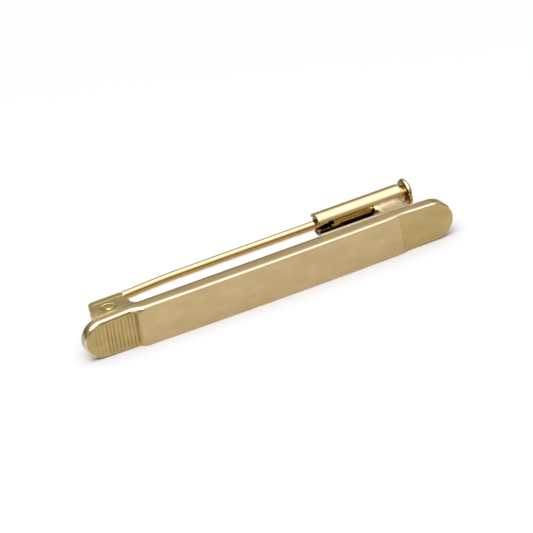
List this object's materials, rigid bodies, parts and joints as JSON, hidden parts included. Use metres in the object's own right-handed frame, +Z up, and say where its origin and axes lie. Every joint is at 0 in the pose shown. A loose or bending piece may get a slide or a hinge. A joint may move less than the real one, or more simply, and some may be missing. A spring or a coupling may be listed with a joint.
{
  "type": "bar pin",
  "caption": "Flat bar pin with reeded ends, a riveted swinging pin stem behind it and a tube catch with a sliding sleeve.",
  "frame": {"origin": "centre of the bar's flat lower edge", "axes": "+X along the bar towards the catch, -Y out of the front of the bar, +Z up across the bar's height"},
  "size_m": [0.05, 0.0081, 0.0064],
  "materials": {
    "satin_gold": "brushed satin",
    "polished_gold": "polished",
    "sleeve_gold": "drawn tube, worn bright",
    "cast_gold": "frosted, as soldered"
  },
  "bodies": {
    "bar_frame": {"bar": "satin_gold", "hinge_bracket": "satin_gold", "hinge_rivet": "polished_gold", "catch_post": "cast_gold", "catch_tube": "polished_gold"},
    "pin": {"pin_tongue": "satin_gold", "pin_wire": "polished_gold"},
    "slide": {"slide_sleeve": "sleeve_gold", "slide_knob": "polished_gold"}
  },
  "joints": [
    {"name": "pin_swing", "type": "hinge", "parent": "bar_frame", "child": "pin", "pos_m": [-0.0202, 0.00245, 0.00459], "axis": [0, 0, 1], "range_deg": [0, 65]},
    {"name": "catch_slide", "type": "slide", "parent": "bar_frame", "child": "slide", "axis": [1, 0, 0], "range_m": [0, 0.0075]}
  ]
}
